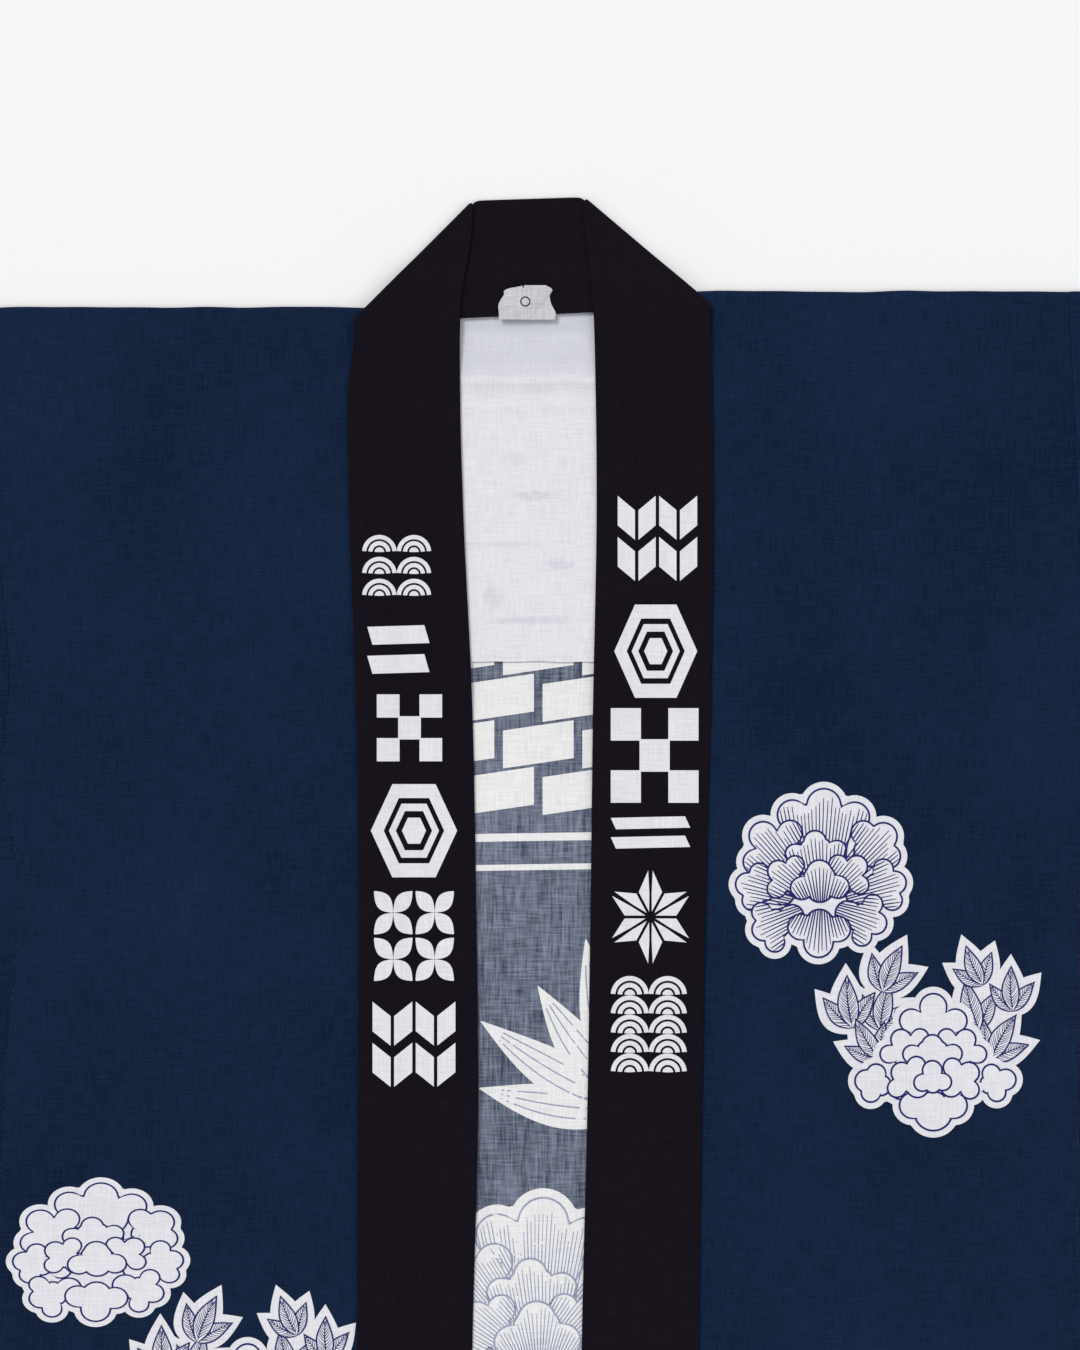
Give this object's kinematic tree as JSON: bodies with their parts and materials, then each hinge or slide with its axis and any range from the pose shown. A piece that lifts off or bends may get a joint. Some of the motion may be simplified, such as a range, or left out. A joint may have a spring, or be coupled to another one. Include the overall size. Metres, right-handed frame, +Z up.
{
  "type": "happi coat, laid flat",
  "caption": "Short straight-cut festival coat of navy cotton with a dark turned-over collar band, square sleeves and a white yoke lining, laid flat with the fronts up.",
  "frame": {"origin": "on the surface the coat lies on, under the middle of its outline", "axes": "+X from cuff to cuff towards the wearer's left sleeve, +Y from the hem to the neck, +Z up from the surface, through the back and then the fronts"},
  "size_m": [1.25, 0.9104, 0.0082],
  "materials": {
    "navy_cotton": "plain-weave cotton, indigo navy, matt, with white prints outlined in violet blue and a paler grey-blue reverse",
    "collar_cotton": "dense plain-weave cotton, near black with a purple cast, matt, doubled and topstitched, with white prints",
    "lining_cotton": "light plain-weave cotton, white, matt, slightly see-through",
    "tag_cotton": "worn white cotton tape, matt",
    "white_print": "undyed white cotton showing through the navy and the collar where the print is",
    "violet_ink": "violet-blue printed line",
    "sewing_thread": "dark cotton sewing thread"
  },
  "bodies": {
    "root": {"body": "navy_cotton", "sleeve_left": "navy_cotton", "sleeve_right": "navy_cotton", "gusset_left": "navy_cotton", "gusset_right": "navy_cotton", "collar": "collar_cotton", "yoke_lining": "lining_cotton", "neck_tag": "tag_cotton"}
  },
  "joints": []
}
